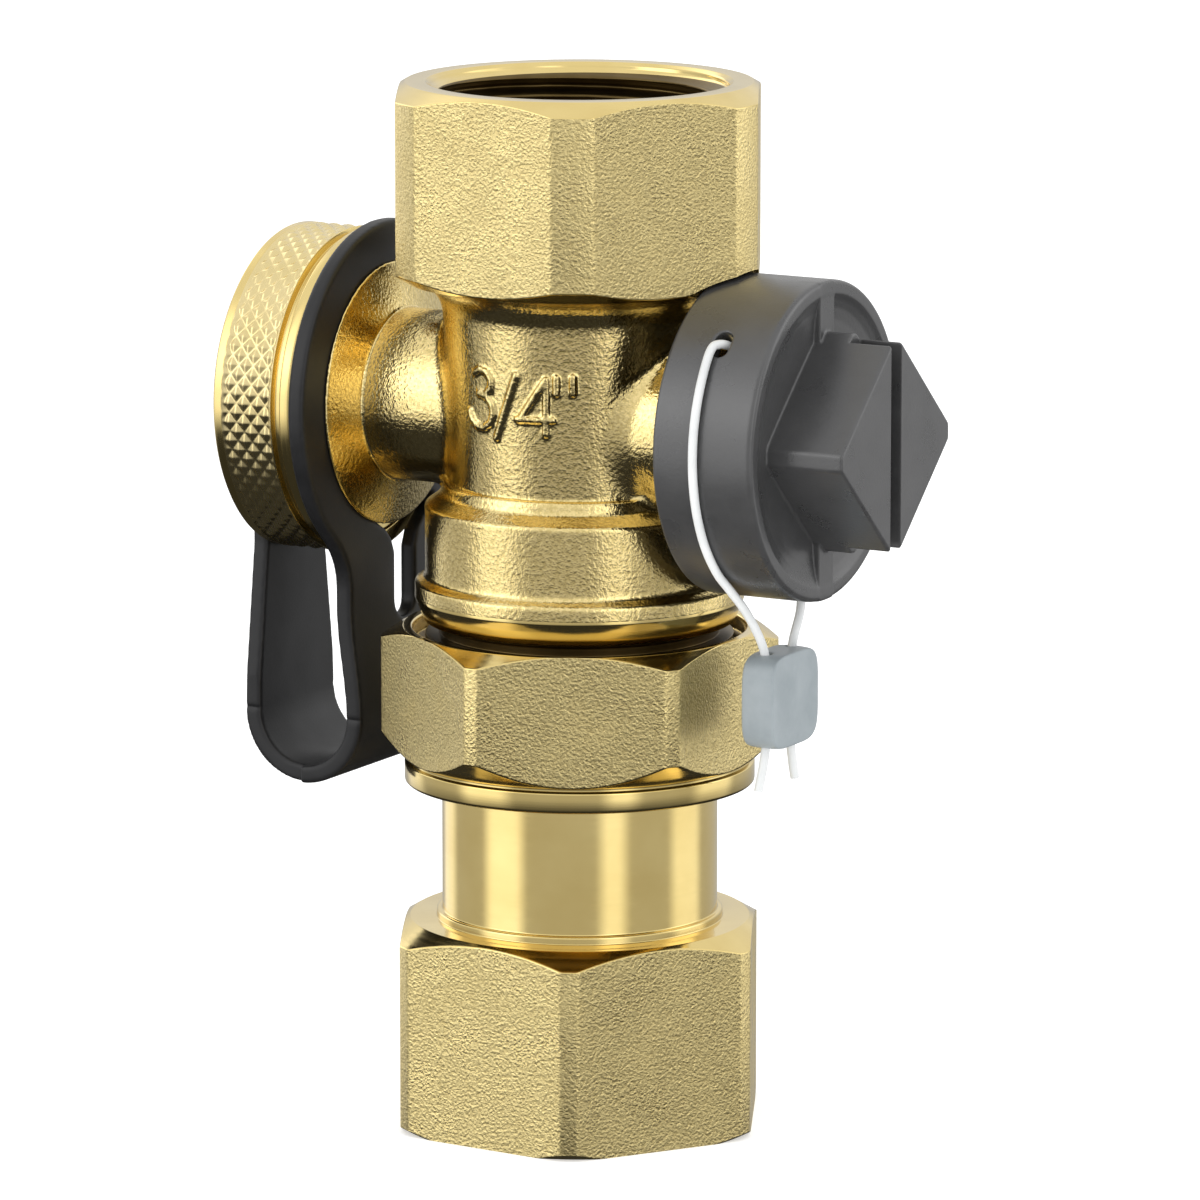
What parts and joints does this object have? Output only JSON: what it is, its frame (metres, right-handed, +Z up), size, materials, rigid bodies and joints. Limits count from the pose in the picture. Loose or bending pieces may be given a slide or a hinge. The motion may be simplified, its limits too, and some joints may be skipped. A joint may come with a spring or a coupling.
{
  "type": "sealable pipe service valve",
  "caption": "Brass quarter-turn service valve with threaded sockets, a union nut, a capped side drain on a rubber strap, and a slotted knob held by a wire seal.",
  "frame": {"origin": "centre of the lower socket's mouth, in the plane of its end face", "axes": "+Z up along the pipe axis to the upper socket, +X along the stem towards the knob, -X towards the drain cap"},
  "size_m": [0.0644, 0.0358, 0.0943],
  "materials": {
    "cast_brass": "sand-blasted casting",
    "turned_brass": "turned, bright",
    "chromed_brass": "polished",
    "ptfe": "smooth",
    "black_rubber": "matte",
    "black_plastic": "satin, moulded",
    "spring_steel": "bright",
    "seal_metal": "satin",
    "white_wire": "coated"
  },
  "bodies": {
    "valve": {"valve_body": "cast_brass", "seat_ring_upper": "ptfe", "seat_ring_lower": "ptfe", "seat_retainer": "turned_brass", "drain_seat_ring": "ptfe", "drain_seat_retainer": "turned_brass", "union_tailpiece": "turned_brass", "union_gasket": "black_rubber", "retaining_strap": "black_rubber"},
    "knob": {"operating_knob": "black_plastic", "stem": "turned_brass", "ball": "chromed_brass", "stem_o_ring_inner": "black_rubber", "stem_o_ring_outer": "black_rubber", "stem_thrust_washer": "ptfe", "stem_washer": "spring_steel", "stem_clip": "spring_steel", "seal_wire": "white_wire", "wire_seal": "seal_metal"},
    "cap_pivot": {"strap_rivet": "spring_steel", "strap_washer": "spring_steel"},
    "cap": {"drain_cap": "turned_brass", "cap_gasket": "black_rubber"},
    "union_ring": {"union_snap_ring": "spring_steel"},
    "union_nut": {"union_nut": "turned_brass"}
  },
  "joints": [
    {"name": "knob_turn", "type": "hinge", "parent": "valve", "child": "knob", "pos_m": [0, 0, 0.0639], "axis": [1, 0, 0], "range_deg": [0, 90]},
    {"name": "cap_travel", "type": "slide", "parent": "valve", "child": "cap_pivot", "axis": [-1, 0, 0], "range_m": [0, 0.00725], "deforming": ["retaining_strap"]},
    {"name": "cap_turn", "type": "hinge", "parent": "cap_pivot", "child": "cap", "pos_m": [0, 0, 0.0648], "axis": [-1, 0, 0], "range_deg": [0, 1440]},
    {"name": "nut_turn", "type": "hinge", "parent": "valve", "child": "union_ring", "pos_m": [0, 0, 0.0343], "axis": [0, 0, -1], "range_deg": [0, 2160]},
    {"name": "nut_travel", "type": "slide", "parent": "union_ring", "child": "union_nut", "axis": [0, 0, -1], "range_m": [0, 0.0091]}
  ],
  "couplings": [
    {"joint": "cap_turn", "follows": "cap_travel", "rad_per_m": 3463},
    {"joint": "nut_travel", "follows": "nut_turn", "m_per_rad": 0.00023873}
  ]
}
